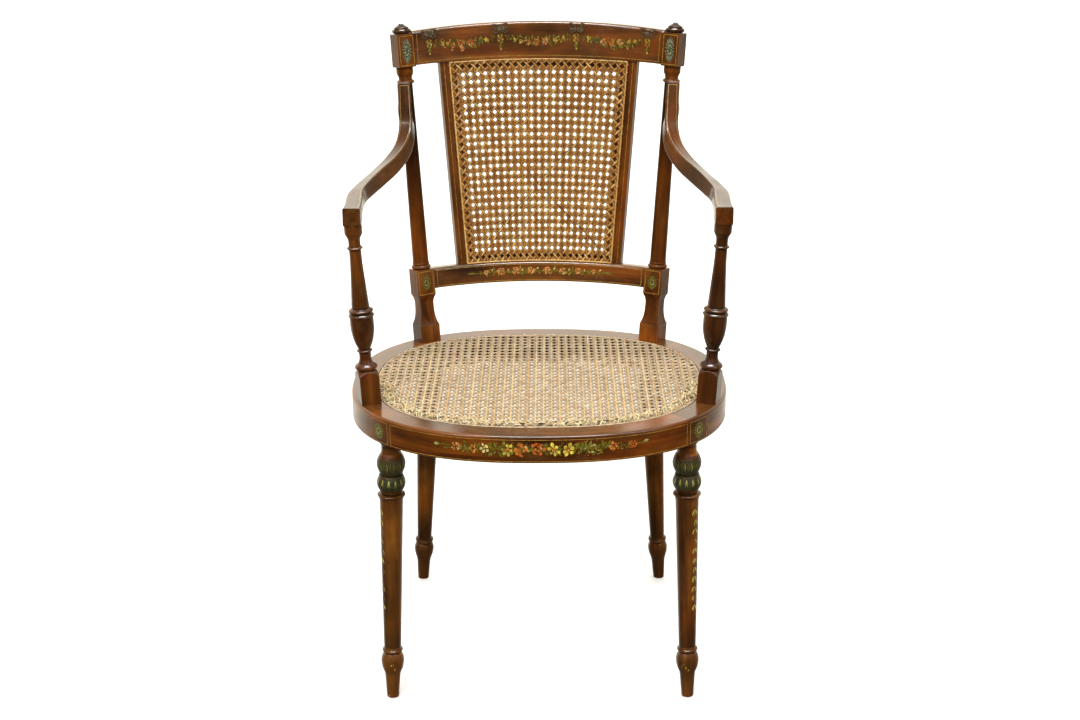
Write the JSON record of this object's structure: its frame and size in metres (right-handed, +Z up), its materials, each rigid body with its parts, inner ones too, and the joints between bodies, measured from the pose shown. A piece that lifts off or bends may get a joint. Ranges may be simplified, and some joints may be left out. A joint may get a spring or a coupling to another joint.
{
  "type": "painted armchair",
  "caption": "Open armchair in polished wood with a caned oval seat, a bowed caned back, swept arms on turned supports, turned legs and painted flower garlands.",
  "frame": {"origin": "on the floor, under the middle of the chair's box", "axes": "+Z up, -Y towards the front of the chair, +X to the right of someone who looks at its front"},
  "size_m": [0.5356, 0.5224, 0.9107],
  "materials": {
    "polished_wood": "dark reddish-brown wood, semi-gloss polish, worn at the edges",
    "cane": "woven cane, satin, tan to pale straw",
    "painted_ornament": "thin gold, green and flower-coloured paint on polished wood"
  },
  "bodies": {
    "root": {"seat_rail_front": "polished_wood", "seat_rail_back": "polished_wood", "seat_rail_left": "polished_wood", "seat_rail_right": "polished_wood", "front_block_left": "polished_wood", "front_block_right": "polished_wood", "tongue_front_left": "polished_wood", "tongue_front_right": "polished_wood", "tongue_side_left": "polished_wood", "tongue_side_right": "polished_wood", "tongue_rear_left": "polished_wood", "tongue_rear_right": "polished_wood", "seat_cane": "cane", "seat_binder": "cane", "front_leg_left": "polished_wood", "front_leg_right": "polished_wood", "rear_leg_left": "polished_wood", "rear_leg_right": "polished_wood", "back_post_left": "polished_wood", "back_post_right": "polished_wood", "finial_left": "polished_wood", "finial_right": "polished_wood", "crest_rail": "polished_wood", "lower_back_rail": "polished_wood", "back_stile_left": "polished_wood", "back_stile_right": "polished_wood", "cane_slat_top": "polished_wood", "cane_slat_bottom": "polished_wood", "back_cane": "cane", "back_binder": "cane", "arm_left": "polished_wood", "arm_right": "polished_wood", "arm_dowel_left": "polished_wood", "arm_dowel_right": "polished_wood", "arm_support_left": "polished_wood", "arm_support_right": "polished_wood"}
  },
  "joints": []
}
